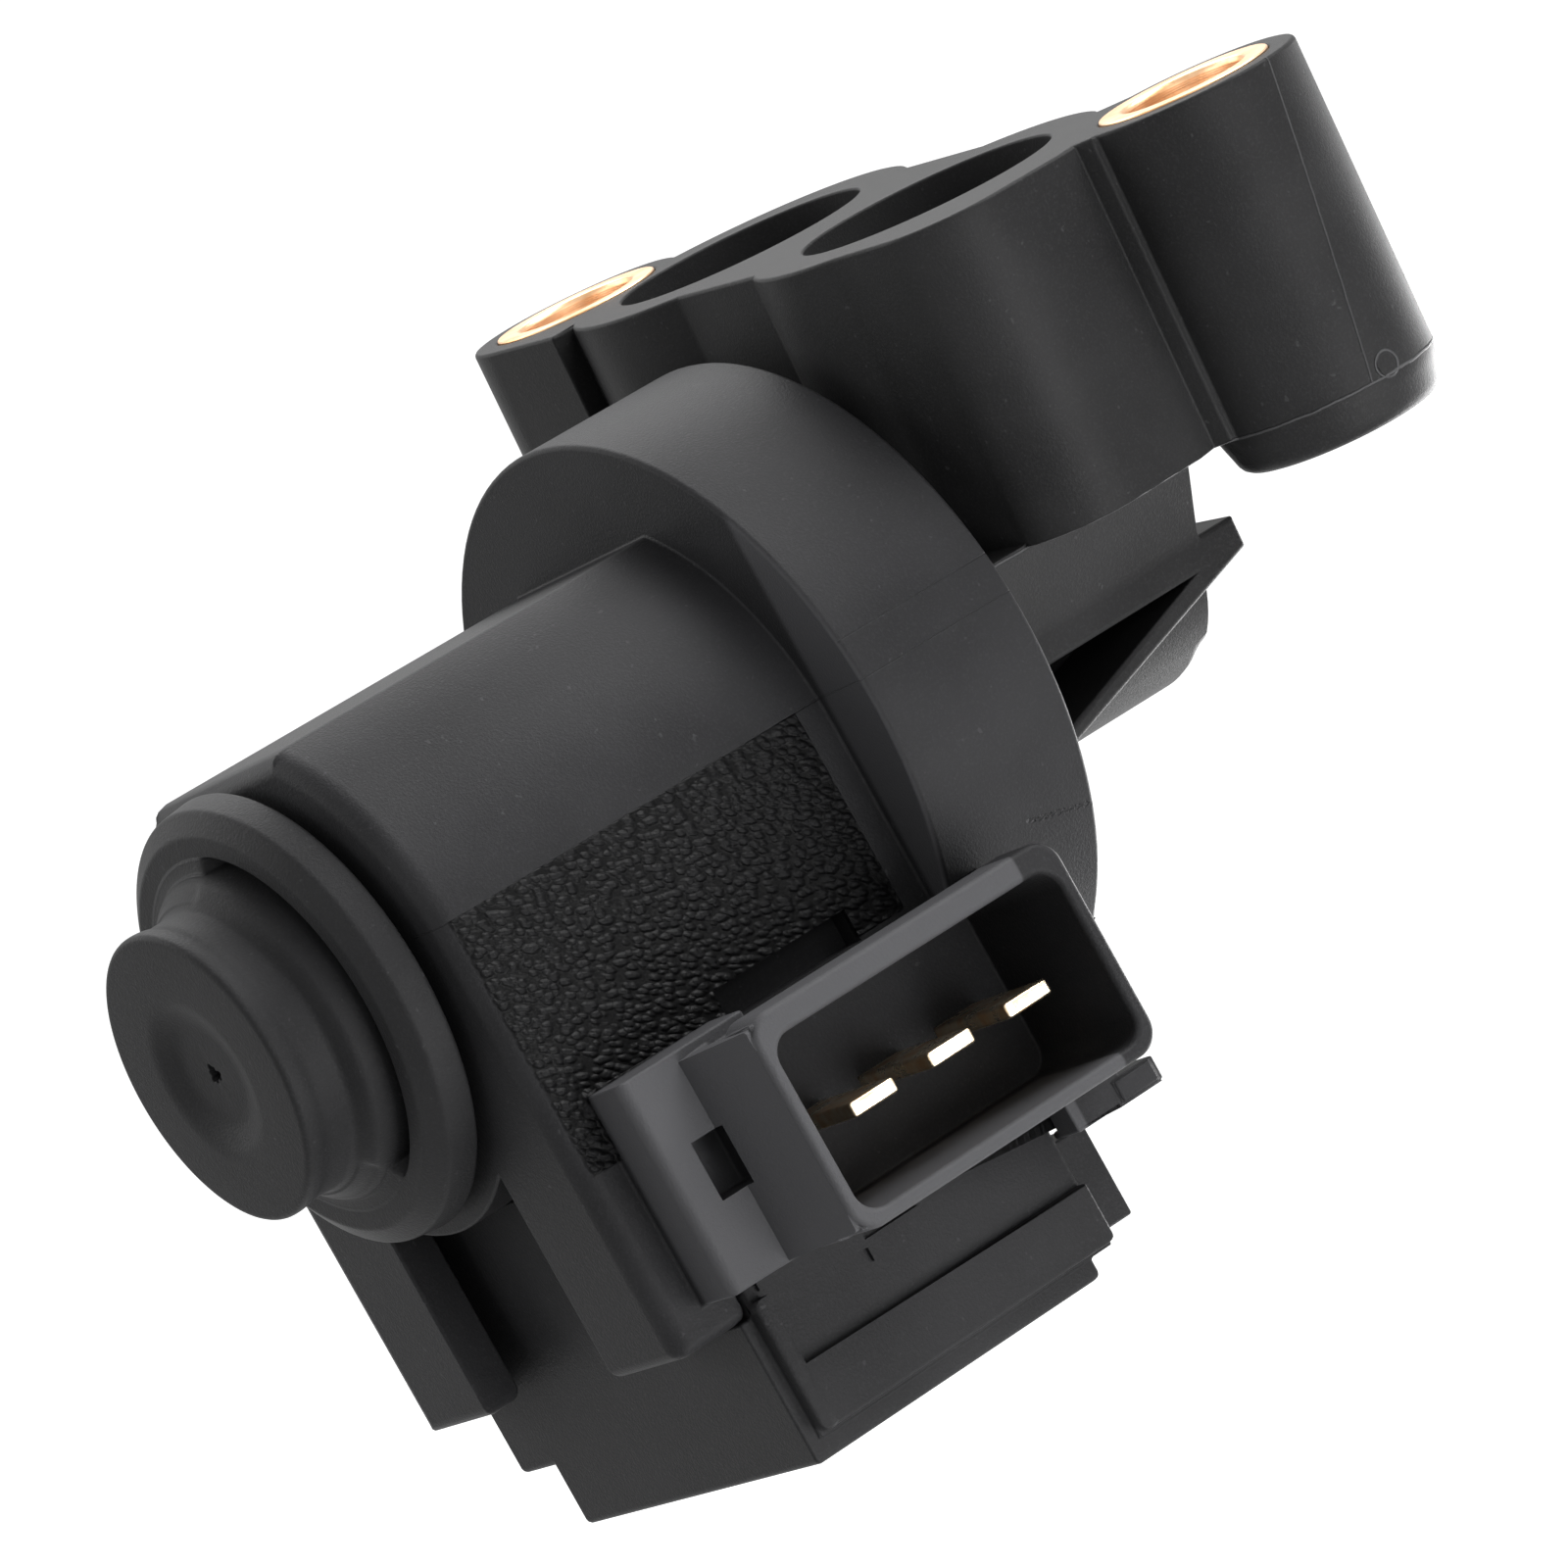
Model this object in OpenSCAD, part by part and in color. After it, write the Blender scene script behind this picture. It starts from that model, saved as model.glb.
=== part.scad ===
// Idle air control valve: a rotary slide valve on a two-hole port flange, turned by a
// two-winding torque motor in a moulded housing with a three-blade connector.
// Millimetres. Origin: midway between the mounting holes, on the port face.
// +Z leaves the ports, X runs along the motor axis with the end cap towards -X,
// and the connector is on the -Y side.

/* [Port flange] */
// Distance between the two mounting holes
bolt_spacing = 42.9; // [42.4:0.1:44.4]
// How far each mounting hole is off the port centre line, along X
bolt_shift = 6.1; // [5.5:0.1:6.6]
// Bore of each brass bushing, clearance for an M6 screw
bolt_hole_d = 6.4; // [6:0.1:6.8]
// Outside diameter of each brass bushing
bushing_od = 9.1; // [8.6:0.1:9.6]
// Bore of each air port
port_d = 13.6; // [12.6:0.1:14]
// Distance between the two port centres
port_pitch = 17.9; // [17.2:0.1:18.4]
// How far the ports are off the mounting-hole midpoint, towards the motor
port_shift = 2.6; // [2.2:0.1:3]
// Wall round each port
port_wall = 2.8; // [2.4:0.1:3.2]
// Wall round each bushing
boss_wall = 1.4; // [1.2:0.1:1.7]
// Height of the port walls
block_h = 16.5; // [15.5:0.5:17]
// Height of each screw boss
boss_h = 18.8; // [18:0.2:19.4]

/* [Valve chamber] */
// Depth of the motor axis below the port face
axis_drop = 21.2; // [20.6:0.2:22]
// Bore that the rotary slide turns in
chamber_d = 13.2; // [12.8:0.2:13.6]
// Wall of the chamber
chamber_wall = 1.7; // [1.5:0.1:2]
// Half width of the lower housing
shoulder_y = 14.2; // [13.8:0.2:14.6]
// Closed end of the chamber, along X
chamber_end = 3.6; // [3:0.2:4.2]
// End of the plate under the shoulders, along X
shoulder_end = 2.4; // [2:0.2:2.8]
// End of the shoulders themselves, along X
ledge_end = 0; // [-0.4:0.2:0.4]

/* [Motor housing] */
// Turn of the motor half about its axis, against the port flange
motor_turn = 7; // [0:0.5:9]
// Disk that joins the motor to the valve
disk_d = 36.8; // [36.2:0.2:38]
// Thickness of the disk
disk_t = 9.9; // [9.4:0.1:10.4]
// Front face of the disk, along X
disk_x = -23.7; // [-24:0.1:-23.4]
// Width of the motor body
body_w = 28; // [27.4:0.2:28.6]
// Length of the motor body in front of the disk
body_len = 24.1; // [23.6:0.1:24.6]
// Height of the flat top of the body above the motor axis
body_top = 12.1; // [11.7:0.1:12.4]
// Depth of the legs below the motor axis
leg_drop = 22; // [21.6:0.1:22.4]
// Inner face of each leg from the middle
leg_in = 6.8; // [6.4:0.1:7.2]
// Wall of the motor body
wall = 2.2; // [2:0.1:2.4]

/* [Connector] */
// Pitch of the three terminals
pin_pitch = 5; // [4.8:0.1:5.2]
// Width of each terminal blade
pin_w = 2.8; // [2.6:0.1:3]
// Thickness of each terminal blade
pin_t = 0.8; // [0.6:0.1:0.9]
// Middle terminal along the motor axis, from the disk face
pin_x = -6.5; // [-6.8:0.1:-6.2]
// Middle of the socket along the motor axis, from the disk face
socket_x = -7.2; // [-7.4:0.1:-6.8]
// Width of the socket
socket_w = 18; // [17.6:0.1:18.2]
// Height of the socket
socket_h = 9.3; // [9:0.1:9.6]
// Middle height of the socket below the motor axis
socket_z = -15.2; // [-15.5:0.1:-15]
// How far the connector rim stands out of the side of the body
rim_out = 8.3; // [7.8:0.1:8.8]
// Thickness of the socket wall at its rim
rim_wall = 1.4; // [1.2:0.1:1.6]

/* [Motor] */
// Shaft diameter
shaft_d = 4; // [3.6:0.1:4.4]
// Running clearance round the shaft, on radius
shaft_gap = 0.03; // [0.02:0.01:0.06]
// Diameter of the rotor magnet
magnet_d = 14.4; // [14:0.1:14.8]
// Air gap between magnet and stator
air_gap = 0.4; // [0.3:0.05:0.5]
// Space between the stator stack and the disk
stack_gap = 8; // [7.6:0.1:8.4]

/* [Hidden] */
$fn = 96;
over = 0.5;
// The two halves of the mounting pattern and the ports
bolt_y = sqrt(pow(bolt_spacing / 2, 2) - pow(bolt_shift, 2));
port_y = port_pitch / 2;
port_r = port_d / 2;
port_or = port_r + port_wall;
bushing_r = bushing_od / 2;
boss_r = bushing_r + boss_wall;
boss_foot = boss_h - block_h;
boss_draft = 0.7;
bushing_t = 16;
port_floor = 2.9;
// Valve chamber
chamber_r = chamber_d / 2;
chamber_or = chamber_r + chamber_wall;
port_depth = block_h - port_floor;
pocket_depth = axis_drop - 1.2;
pocket_wall = 1.9;
window_y = 2.7;
lower_z = -axis_drop - 1.4;
crease_z = -axis_drop + 0.3;
web_low = 6;
web_t = 0.8;
slide_gap = 0.4;
slide_t = 0.9;
slide_from = 14;
slide_to = 85;
// Motor housing, measured from the disk face and the motor axis
disk_r = disk_d / 2;
body_r = body_w / 2;
tube_r = body_r - 1.3;
plate_x = 3.6 - body_len;
plate_t = 0.9;
back_wall = 1.9;
cup_x = 2.4;
cup_r = disk_r - 2.1;
flange_gap = 0.15;
bearing_plate_t = 1.8;
groove_w = 2;
seal_r = 0.65;
neck_r = cup_r - flange_gap;
// Connector
rim_y = -body_r - rim_out;
floor_y = 0.9 - body_r;
pin_tip = rim_y + 2.3;
pin_z = -15.6;
drop_y = 1.5 - body_r;
foot_z = -27.4;
rim_depth = 3;
shell_wall = 0.8;
shell_left = socket_x - socket_w / 2 - shell_wall;
rim_w = socket_w + shell_wall + rim_wall - 0.6;
rim_h = socket_h + 2 * rim_wall - 0.6;
rim_lift = 0.3;
cheek_w = 1.5;
cheek_in = 0.4;
side_y = -body_r - 3.4;
side_left = 2.3 - body_len;
side_top = -9;
side_low = -20.3;
latch_from = socket_x - 5.8;
latch_to = socket_x + 2.7;
latch_top = -7.9;
latch_low = -9.6;
lug_y = -body_r - 2.4;
lug_low = -22.9;
lug_top = -17;
stud_out = 0.25;
// Coil and stator, along the motor axis
stack_x = 7.1 - body_len;
stack_t = -stack_gap - stack_x;
stator_r = body_r - wall - 0.2;
leg_t = 3;
yoke_top = -21.4;
yoke_h = 3.7;
coil_half = stator_r - leg_t - 1;
foot_y = -coil_half - 0.8;
flange_t = 0.8;
sleeve_t = 0.6;
wind_t = 1.5;
coil_mid_x = stack_x + stack_t / 2;
coil_mid_z = yoke_top - yoke_h / 2;
cover_low = -29.7;
cover_mid = -26.3;
cover_back = -1.9;
cover_step_y = body_r - 3.4;
cover_wall = 1;
bracket_back = 1.6;
bracket_low = -28;
panel_x = plate_x + 0.7;
panel_end = -0.6;
panel_low = -28.6;
panel_out = 0.8;
panel_skin = 0.2;
panel_rib = 0.9;
ledge_z = -25.3;
panel_t = 0.8;
panel_top = -20.6;
fit = 0.1;
// Shaft line
shaft_r = shaft_d / 2;
shaft_front = -body_len - 0.1;
shaft_back = 23.4;
front_seat = 3.3 - body_len;
rear_seat = -2.6;
hub_len = 5.6;
hub_over = 1.2;
magnet_over = 0.4;
magnet_wall = 2.6;
bearing_r = shaft_r + 1.2;
ring_seat = 1.3;
ring_t = 0.5;
ring_out = 1.2;
groove_depth = 0.4;
// End cap, measured outwards from the front of the body
cap_out = 7.7;
cap_edge = 0.4;
cap_r = body_r - 6.3;
dish_r = cap_r / 2;
lip_out = 4.3;
lip_r = cap_r + 1.3;
collar_out = 3.1;
collar_in = 0.5;
collar_r = body_r - 2.1;
spigot_r = cap_r + 0.3;

// Places what is drawn along the motor axis, without the turn of the motor half
module on_axis() {
    translate([disk_x, 0, -axis_drop]) children();
}

// Places what belongs to the motor half, turned against the flange
module on_motor() {
    on_axis() rotate([-motor_turn, 0, 0]) children();
}

// A round bar along X
module bar(x0, x1, r) {
    translate([x0, 0, 0]) rotate([0, 90, 0]) cylinder(h = x1 - x0, r = r);
}

// A profile drawn in Y and Z, extruded along X
module along(x0, x1) {
    translate([x0, 0, 0]) rotate([90, 0, 90]) linear_extrude(height = x1 - x0) children();
}

// A box between two corners
module block(a, b) {
    translate(a) cube(b - a);
}

// A rectangle with round corners, about its middle
module soft_rect(w, h, r) {
    square([w - 2 * r, h], center = true);
    square([w, h - 2 * r], center = true);
    for (sx = [-1, 1], sy = [-1, 1])
        translate([sx * (w / 2 - r), sy * (h / 2 - r)]) circle(r = r);
}

// Outline of the port flange from above: two port rings and the webs to the bosses
module flange_outline() {
    translate([-port_shift, port_y]) circle(r = port_or);
    translate([-port_shift, -port_y]) circle(r = port_or);
    translate([-port_shift - port_or + 1.6, -port_y + 1]) square([2 * port_or - 3.2, port_pitch - 2]);
    translate([-bolt_shift - boss_r, port_y + 5.2]) square([2 * boss_r - 0.4, bolt_y - port_y - 5.2]);
    translate([-6.9, -16.3]) circle(r = 4.2);
    polygon([[-11.1, -16.3], [-port_shift - port_or + 0.3, -port_y], [4, -port_y], [1, -19],
             [-2, -20.2], [-6.9, -20.5]]);
    polygon([[-0.2, -bolt_y], [-1.2, -18.6], [4.4, -14], [port_or - port_shift - 1.3, -13.4],
             [bolt_shift + boss_r - 0.4, -bolt_y + 1.5], [bolt_shift, -bolt_y]]);
}

// A screw boss with a tapered foot
module boss_post(x, y) {
    translate([x, y, -boss_h]) {
        translate([0, 0, boss_foot]) cylinder(h = boss_h - boss_foot, r = boss_r);
        cylinder(h = boss_foot, r1 = boss_r - boss_draft, r2 = boss_r);
    }
}

// Shoulders under the port block, seen along the motor axis from the axis itself
module shoulder_outline() {
    top_y = shoulder_y + 2.4;
    top_z = axis_drop - block_h + 0.2;
    polygon([[-shoulder_y, axis_drop + lower_z], [-shoulder_y, axis_drop + crease_z], [-top_y, top_z],
             [top_y, top_z], [shoulder_y, axis_drop + crease_z], [shoulder_y, axis_drop + lower_z]]);
}

module valve_housing() {
    from_disk = disk_t + flange_gap;
    shoulder_x = shoulder_end - disk_x;
    chamber_x = chamber_end - disk_x;
    plate_z = axis_drop + lower_z;
    groove_out = neck_r - 0.9;
    color([0.07, 0.07, 0.075]) difference() {
        union() {
            translate([0, 0, -block_h]) linear_extrude(height = block_h) flange_outline();
            boss_post(-bolt_shift, bolt_y);
            boss_post(bolt_shift, -bolt_y);
            on_axis() {
                along(from_disk, ledge_end - disk_x) shoulder_outline();
                block([from_disk, -shoulder_y, plate_z], [shoulder_x, shoulder_y, axis_drop + crease_z]);
                bar(cup_x + bearing_plate_t, from_disk + over, neck_r);
                bar(from_disk, chamber_x, chamber_or);
                // Thin sloping web that braces the plate against the neck
                facing(-shoulder_y, shoulder_y)
                    polygon([[from_disk, -web_low], [shoulder_x, plate_z], [shoulder_x, plate_z + over],
                             [shoulder_x - 2, plate_z + over], [from_disk, web_t - web_low]]);
            }
        }
        // Bushing seats, and the screw holes below them
        for (side = [-1, 1])
            translate([side * bolt_shift, -side * bolt_y, 0]) {
                translate([0, 0, -boss_h - over]) cylinder(h = boss_h, r = bolt_hole_d / 2);
                translate([0, 0, -bushing_t]) cylinder(h = bushing_t + over, r = bushing_r);
            }
        // Air ports, and below each a pocket that opens a window in the side of the chamber
        for (side = [-1, 1]) {
            translate([-port_shift, side * port_y, -port_depth])
                cylinder(h = port_depth + over, r = port_r);
            near_y = side > 0 ? window_y : -(shoulder_y - pocket_wall);
            block([-port_shift - port_r + 1.4, near_y, -pocket_depth],
                  [ledge_end - pocket_wall, near_y + shoulder_y - pocket_wall - window_y,
                   over - port_depth]);
        }
        on_axis() {
            bar(cup_x, chamber_x - chamber_wall, chamber_r);
            // Groove for the joint ring
            difference() {
                bar(cup_x, cup_x + bearing_plate_t + 2 * seal_r, groove_out);
                bar(cup_x - over, chamber_x, groove_out - groove_w);
            }
        }
    }
}

module bushing(side) {
    color([0.78, 0.55, 0.28]) translate([side * bolt_shift, -side * bolt_y, -bushing_t])
        difference() {
            cylinder(h = bushing_t + 0.1, r = bushing_r);
            translate([0, 0, -over]) cylinder(h = bushing_t + 2, r = bolt_hole_d / 2);
        }
}

// Section of the motor body: round at the sides, flat on top, straight legs
module body_outline(r, top, low) {
    intersection() {
        circle(r = r);
        translate([-r, -r]) square([2 * r, r + top]);
    }
    translate([-r, -low]) square([2 * r, low]);
}

// A plan drawn in X and Z, extruded along Y between two planes
module facing(y0, y1) {
    translate([0, y1, 0]) rotate([90, 0, 0]) linear_extrude(height = y1 - y0) children();
}

// One terminal: blade, drop behind the wall and foot at the coil
module terminal_shape(n) {
    x0 = pin_x + (n - 2) * pin_pitch - pin_w / 2;
    x1 = x0 + pin_w;
    half = pin_t / 2;
    block([x0, pin_tip, pin_z - half], [x1, drop_y, pin_z + half]);
    block([x0, drop_y - half, foot_z - half], [x1, drop_y + half, pin_z + half]);
    block([x0, drop_y, foot_z - half], [x1, foot_y, foot_z + half]);
}

module motor_housing() {
    front = -body_len;
    color([0.075, 0.075, 0.08]) on_motor() difference() {
        union() {
            bar(0, disk_t, disk_r);
            along(front, over) body_outline(body_r, body_top, leg_drop);
            // Connector: rim, shell and the block beside it
            facing(rim_y, rim_y + rim_depth)
                translate([shell_left + rim_w / 2, socket_z + rim_lift]) soft_rect(rim_w, rim_h, rim_wall);
            // Cheek that slopes from the rim down to the block beside it
            translate([shell_left, 0, socket_z + rim_lift - rim_h / 2 + cheek_in])
                linear_extrude(height = rim_h - 2 * cheek_in)
                    polygon([[0, rim_y + 0.3], [-cheek_w, side_y + over], [shell_wall / 2, side_y + over],
                             [shell_wall / 2, rim_y + 0.3]]);
            facing(rim_y + rim_depth, floor_y + 1.2) translate([socket_x, socket_z])
                soft_rect(socket_w + 2 * shell_wall, socket_h + 2 * shell_wall, 1);
            block([side_left, side_y, side_low], [shell_left + 3, -body_r + over, side_top]);
            // Lugs on the disk face, beside the leg
            block([1, lug_y, lug_low], [5.2, -body_r, lug_low + 1.3]);
            block([-over, lug_y, lug_low], [3, -body_r, lug_top]);
            block([2.4, lug_y - stud_out, lug_low + 0.1], [4.8, lug_y, lug_low + 1.2]);
        }
        // Motor room, open below, and the opening for the rear bearing
        along(front + wall, -back_wall) body_outline(body_r - wall, body_top - wall, leg_drop + over);
        bar(-back_wall - over, cup_x + over, body_top - wall);
        // Cup for the bearing plate and the valve flange
        bar(cup_x, disk_t + over, cup_r);
        bar(front - over, front + wall + over, spigot_r + 0.05);
        // Open front between the legs, below the tube end
        along(front - over, plate_x) difference() {
            translate([-leg_in, -leg_drop - over]) square([2 * leg_in, leg_drop]);
            circle(r = tube_r);
        }
        // Seat of the coil cover's side panel, and the latch recess above the socket
        block([panel_x - fit, -body_r - over, -leg_drop - over],
              [over, -body_r + panel_t + fit, panel_top + fit]);
        block([latch_from, -body_r - over, latch_low], [latch_to, -body_r + 1.5, latch_top]);
        // Socket and the window of the side block
        facing(rim_y - over, floor_y) translate([socket_x, socket_z])
            soft_rect(socket_w, socket_h, 1.2);
        block([(side_left * 3 + shell_left * 2) / 5, side_y - over, pin_z - 0.6],
              [shell_left, side_y + 2.6, pin_z + 2.5]);
        for (n = [1, 2, 3]) terminal_shape(n);
    }
}

module end_cap() {
    seat = front_seat + body_len + 0.2;
    throat_r = cap_r - 0.3;
    groove_r = lip_r - 0.4;
    color([0.07, 0.07, 0.075]) on_motor() translate([-body_len, 0, 0]) rotate([0, -90, 0])
        rotate_extrude() polygon([
            [0, cap_out - 0.5], [dish_r - cap_edge, cap_out - cap_edge], [dish_r, cap_out],
            [cap_r - cap_edge, cap_out], [cap_r, cap_out - cap_edge], [cap_r, cap_out - 2 * cap_edge],
            [throat_r, cap_out - 1], [throat_r, cap_out - 1.3], [cap_r, cap_out - 1.5], [cap_r, lip_out],
            [groove_r, lip_out], [lip_r, lip_out - 0.3], [lip_r, lip_out - 0.6],
            [groove_r, lip_out - 0.8], [groove_r - 0.1, collar_out - 0.3],
            [lip_r - 0.1, collar_out - cap_edge], [lip_r + cap_edge, collar_out],
            [collar_r - 0.6, collar_out], [collar_r - 0.1, collar_out - 0.5],
            [collar_r, collar_in + 0.6], [collar_r - 0.5, collar_in], [spigot_r + 1, collar_in],
            [spigot_r + 1, 0], [spigot_r, 0], [spigot_r, -seat], [bearing_r, -seat],
            [bearing_r, collar_in], [0, collar_in]]);
}

module coil_cover() {
    room_y = body_r - wall;
    room_x = plate_x + plate_t;
    room_top = -leg_drop + over;
    color([0.07, 0.07, 0.075]) on_motor() difference() {
        union() {
            // Tongue behind the legs
            block([plate_x, fit - room_y, -leg_drop - over], [room_x, room_y - fit, -tube_r - fit]);
            // Coil box under the legs, narrower below
            block([plate_x, -body_r, cover_mid], [cover_back, body_r, -leg_drop]);
            block([plate_x, -body_r, cover_low], [cover_back, cover_step_y, cover_mid + over]);
            // Side panel: two fields with a ledge between them
            block([panel_x, -body_r - panel_skin, panel_low], [panel_end, -body_r + panel_t, panel_top]);
            block([panel_x, -body_r - panel_out, panel_low + 0.2], [panel_end, -body_r, ledge_z]);
            block([panel_x, -body_r - panel_out - 0.1, panel_low + 0.2],
                  [panel_x + panel_rib, -body_r, panel_top - 0.8]);
            facing(-body_r - panel_skin - stud_out, -body_r) {
                polygon([[panel_x + panel_rib, panel_top], [panel_x + panel_rib, panel_top - 0.5],
                         [latch_from + 0.4, lug_low + 0.7], [latch_from + 0.4, panel_top]]);
                translate([latch_from + 0.3, lug_low]) square([3.6, 1.1]);
            }
            // Bracket behind the box, round the last terminal's drop
            block([cover_back - over, -body_r + 0.4, bracket_low],
                  [bracket_back, foot_y - 0.6, -leg_drop - 1]);
            block([cover_back - over, -room_y, bracket_low], [0, foot_y - 0.6, -leg_drop]);
        }
        block([room_x, -room_y, cover_low + cover_wall],
              [cover_back - cover_wall, cover_step_y - cover_wall, room_top]);
        block([room_x, -room_y, cover_mid + cover_wall],
              [cover_back - cover_wall, room_y, room_top]);
        for (n = [1, 2, 3]) terminal_shape(n);
    }
}

module terminal(n) {
    color([0.83, 0.64, 0.36]) on_motor() terminal_shape(n);
}

module stator_core() {
    bore = magnet_d / 2 + air_gap;
    color([0.45, 0.46, 0.48]) on_motor() along(stack_x, stack_x + stack_t) difference() {
        union() {
            intersection() {
                circle(r = stator_r);
                translate([-stator_r, -stator_r])
                    square([2 * stator_r, stator_r + body_top - wall - 0.2]);
            }
            for (y0 = [-stator_r, stator_r - leg_t])
                translate([y0, yoke_top - over]) square([leg_t, over - yoke_top]);
            translate([-stator_r, yoke_top - yoke_h]) square([2 * stator_r, yoke_h]);
        }
        circle(r = bore);
        // Gap between the two pole shoes
        translate([-1, -stator_r - over]) square([2, stator_r]);
    }
}

// A ring section round the yoke: a sleeve, flange or layer of turns
module coil_ring(grow_in, grow_out, y0, y1) {
    facing(y0, y1) translate([coil_mid_x, coil_mid_z]) difference() {
        soft_rect(stack_t + 2 * grow_out, yoke_h + 2 * grow_out, max(grow_out, 0.3));
        square([stack_t + 2 * grow_in, yoke_h + 2 * grow_in], center = true);
    }
}

module coil_bobbin() {
    color([0.85, 0.82, 0.74]) on_motor() {
        coil_ring(0, sleeve_t, -coil_half, coil_half);
        coil_ring(0, sleeve_t + wind_t, -coil_half, -coil_half + flange_t);
        coil_ring(0, sleeve_t + wind_t, -flange_t / 2, flange_t / 2);
        coil_ring(0, sleeve_t + wind_t, coil_half - flange_t, coil_half);
    }
}

module winding(side) {
    y0 = side < 0 ? -coil_half + flange_t : flange_t / 2;
    y1 = side < 0 ? -flange_t / 2 : coil_half - flange_t;
    color([0.62, 0.3, 0.14]) on_motor() coil_ring(sleeve_t, sleeve_t + wind_t - 0.2, y0, y1);
}

module rotor_magnet() {
    color([0.2, 0.2, 0.21]) on_axis() difference() {
        bar(stack_x - magnet_over, stack_x + stack_t + magnet_over, magnet_d / 2);
        bar(stack_x - 1, stack_x + stack_t + 1, magnet_d / 2 - magnet_wall);
    }
}

module magnet_hub() {
    color([0.6, 0.6, 0.62]) on_axis() difference() {
        bar(stack_x - hub_over, stack_x + stack_t + hub_over, magnet_d / 2 - magnet_wall);
        bar(stack_x - 2 * hub_over, stack_x + stack_t + 2 * hub_over, shaft_r);
    }
}

module rotor_shaft() {
    color([0.7, 0.7, 0.72]) on_axis() difference() {
        bar(shaft_front, shaft_back, shaft_r);
        // Groove for the retaining ring
        difference() {
            bar(shaft_back - ring_seat, shaft_back - ring_seat + ring_t + fit, shaft_r + over);
            bar(shaft_back - 2, shaft_back, shaft_r - groove_depth);
        }
    }
}

module bearing(x0, x1) {
    color([0.66, 0.5, 0.3]) on_motor() difference() {
        bar(x0, x1, bearing_r);
        bar(x0 - 1, x1 + 1, shaft_r + shaft_gap);
    }
}

module bearing_plate() {
    color([0.62, 0.63, 0.65]) on_motor() difference() {
        union() {
            bar(cup_x, cup_x + bearing_plate_t, neck_r);
            bar(rear_seat - 0.4, cup_x + hub_len, bearing_r + 1.6);
        }
        bar(rear_seat - 1, cup_x + hub_len + 1, bearing_r);
    }
}

module slide_sector(r0, r1, a0, a1) {
    difference() {
        circle(r = r1);
        circle(r = r0);
        // What is left lies between the two angles from +Z towards +Y
        rotate(90 - a0) translate([-2 * r1, 0]) square([4 * r1, 2 * r1]);
        rotate(90 - a1) translate([-2 * r1, -2 * r1]) square([4 * r1, 2 * r1]);
    }
}

module valve_slide() {
    r1 = chamber_r - slide_gap;
    x0 = disk_t + 2;
    x1 = chamber_end - chamber_wall - disk_x - slide_gap;
    color([0.55, 0.56, 0.58]) on_axis() {
        difference() {
            union() {
                along(x0, x1) slide_sector(r1 - slide_t, r1, slide_from, slide_to);
                along(x0, x0 + 1.6) slide_sector(0, r1, slide_from, slide_to);
                bar(x0, shaft_back - ring_seat - fit, shaft_r + 1.4);
            }
            bar(x0 - 1, shaft_back + 1, shaft_r);
        }
    }
}

module joint_seal() {
    color([0.05, 0.05, 0.05]) on_axis() translate([cup_x + bearing_plate_t + seal_r, 0, 0])
        rotate([0, 90, 0]) rotate_extrude()
            translate([neck_r - 0.9 - groove_w / 2, 0]) circle(r = seal_r, $fn = 32);
}

module retaining_ring() {
    color([0.5, 0.5, 0.52]) on_axis() difference() {
        bar(shaft_back - ring_seat, shaft_back - ring_seat + ring_t, shaft_r + ring_out);
        bar(shaft_back - 2, shaft_back, shaft_r - groove_depth);
    }
}

valve_housing();
bushing(-1);  // bushing_far
bushing(1);  // bushing_near
motor_housing();
end_cap();
coil_cover();
terminal(1);  // terminal_1
terminal(2);  // terminal_2
terminal(3);  // terminal_3
stator_core();
coil_bobbin();
winding(-1);  // winding_open
winding(1);  // winding_close
rotor_magnet();
magnet_hub();
rotor_shaft();
bearing(shaft_front, front_seat);  // front_bearing
bearing(rear_seat, cup_x + hub_len - 0.2);  // rear_bearing
bearing_plate();
valve_slide();
joint_seal();
retaining_ring();
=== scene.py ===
"""Idle air control valve: the finish of each piece, the studio and the camera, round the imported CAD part.
Lengths are metres in the row frame: +Z leaves the ports, +X runs along the motor axis away from the cap."""

from math import cos, pi, radians, sin

import bmesh
import bpy
import numpy as np
from mathutils import Matrix, Vector


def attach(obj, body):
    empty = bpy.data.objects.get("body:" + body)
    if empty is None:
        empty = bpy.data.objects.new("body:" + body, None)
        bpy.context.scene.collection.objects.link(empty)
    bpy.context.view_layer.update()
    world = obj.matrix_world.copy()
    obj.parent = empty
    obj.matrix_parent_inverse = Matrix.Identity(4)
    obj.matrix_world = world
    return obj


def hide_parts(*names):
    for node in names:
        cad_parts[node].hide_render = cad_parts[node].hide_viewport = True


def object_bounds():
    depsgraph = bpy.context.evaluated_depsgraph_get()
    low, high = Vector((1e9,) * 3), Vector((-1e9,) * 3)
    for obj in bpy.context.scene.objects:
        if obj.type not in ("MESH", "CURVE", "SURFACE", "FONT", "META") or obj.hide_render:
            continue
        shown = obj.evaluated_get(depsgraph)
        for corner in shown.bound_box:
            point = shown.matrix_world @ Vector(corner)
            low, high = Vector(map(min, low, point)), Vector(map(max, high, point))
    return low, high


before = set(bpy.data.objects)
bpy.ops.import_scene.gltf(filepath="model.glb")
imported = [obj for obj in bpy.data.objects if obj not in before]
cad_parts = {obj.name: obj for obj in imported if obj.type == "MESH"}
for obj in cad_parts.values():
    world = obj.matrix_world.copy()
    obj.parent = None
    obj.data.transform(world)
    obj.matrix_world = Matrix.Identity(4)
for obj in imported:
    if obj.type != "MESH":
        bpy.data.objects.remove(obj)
cad_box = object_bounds()
mm = 0.001


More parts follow.
